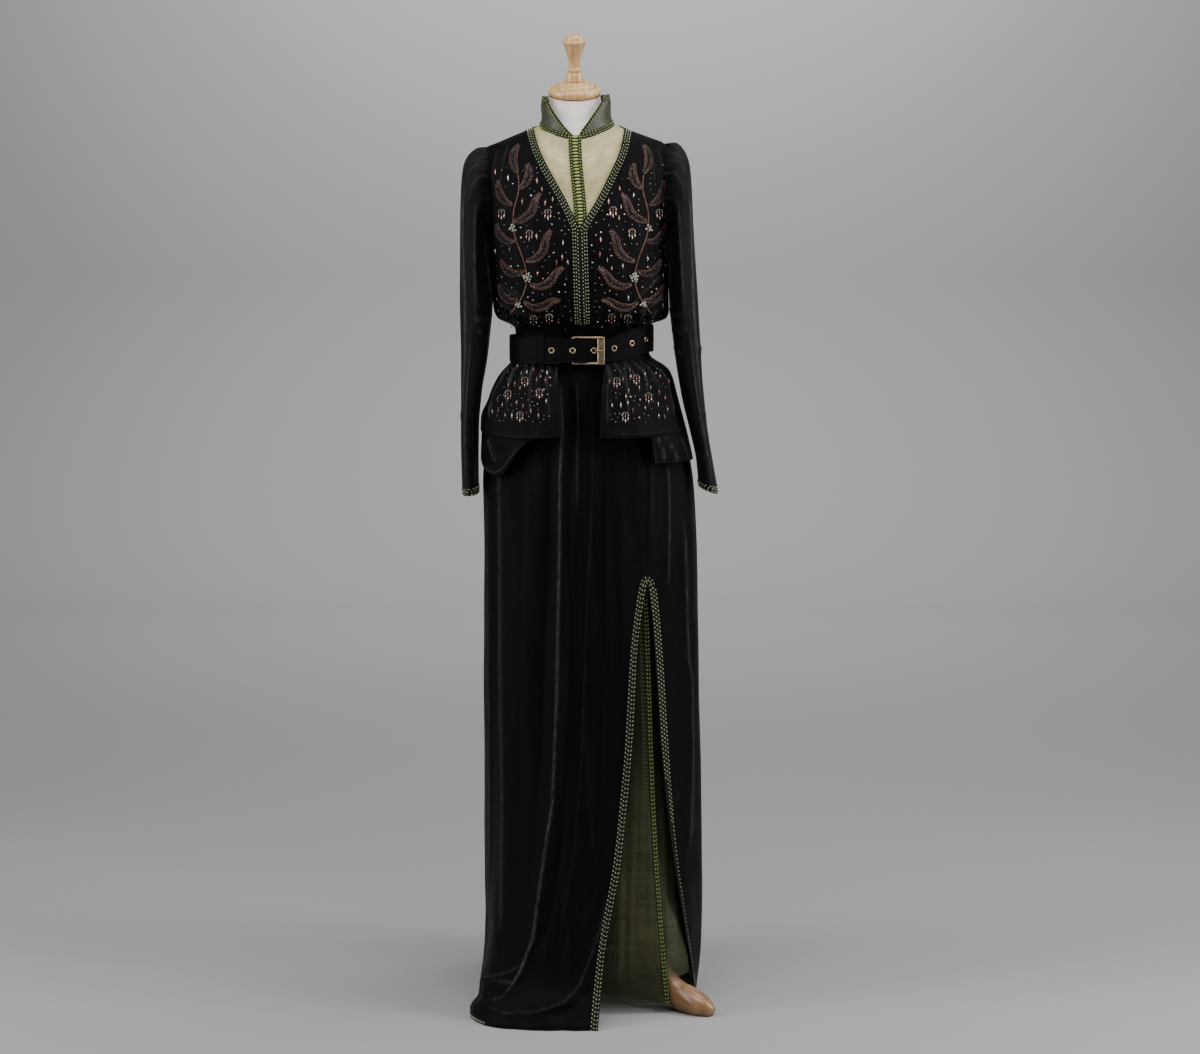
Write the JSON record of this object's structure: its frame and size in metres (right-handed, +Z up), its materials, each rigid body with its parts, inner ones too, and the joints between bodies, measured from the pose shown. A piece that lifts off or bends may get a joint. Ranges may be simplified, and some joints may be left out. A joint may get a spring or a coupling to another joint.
{
  "type": "kaftan on dress form",
  "caption": "Long-sleeved belted velvet kaftan with a V neck, peplum, side-front slit and train, worn over a sheer underdress by a limbless dress form on a wooden stand.",
  "frame": {"origin": "centre of the bounding box at floor height, under the stand", "axes": "+Z up, the wearer's front faces -Y, +X is towards the slit side"},
  "size_m": [0.4344, 0.5484, 1.6333],
  "materials": {
    "velvet": "black silk velvet",
    "braid": "black and pale green woven braid",
    "bright_braid": "bright green silk braid",
    "satin": "dark olive satin",
    "organza": "sheer green organza",
    "strap": "black velvet over a stiff core",
    "metal": "antique gold",
    "jersey": "white stretch jersey",
    "beech": "pale satin beech"
  },
  "bodies": {
    "root": {"bodice_front_left": "velvet", "bodice_front_right": "velvet", "bodice_back": "velvet", "sleeve_left": "velvet", "sleeve_right": "velvet", "skirt_front_left": "velvet", "skirt_front_right": "velvet", "skirt_back": "velvet", "peplum_front_left": "velvet", "peplum_front_right": "velvet", "peplum_long_left": "velvet", "peplum_long_right": "velvet", "neck_trim_left": "braid", "neck_trim_right": "braid", "cuff_trim_left": "braid", "cuff_trim_right": "braid", "slit_trim_left": "braid", "slit_trim_right": "braid", "slit_trim_top": "braid", "hem_trim": "braid", "collar_base_trim": "bright_braid", "collar_top_trim": "bright_braid", "collar_front_trim_left": "bright_braid", "collar_front_trim_right": "bright_braid", "centre_strip": "bright_braid", "underskirt_braid_left": "bright_braid", "underskirt_braid_right": "bright_braid", "collar": "satin", "yoke_left": "organza", "yoke_right": "organza", "underskirt_left": "organza", "underskirt_right": "organza", "belt_strap": "strap", "belt_keeper": "strap", "buckle_frame": "metal", "buckle_prong": "metal", "eyelet_1": "metal", "eyelet_2": "metal", "eyelet_3": "metal", "eyelet_4": "metal", "eyelet_5": "metal", "eyelet_6": "metal", "form_torso": "jersey", "neck_cap": "beech", "finial": "beech", "pole": "beech", "hub": "beech", "leg_1": "beech", "leg_2": "beech", "leg_3": "beech"}
  },
  "joints": []
}
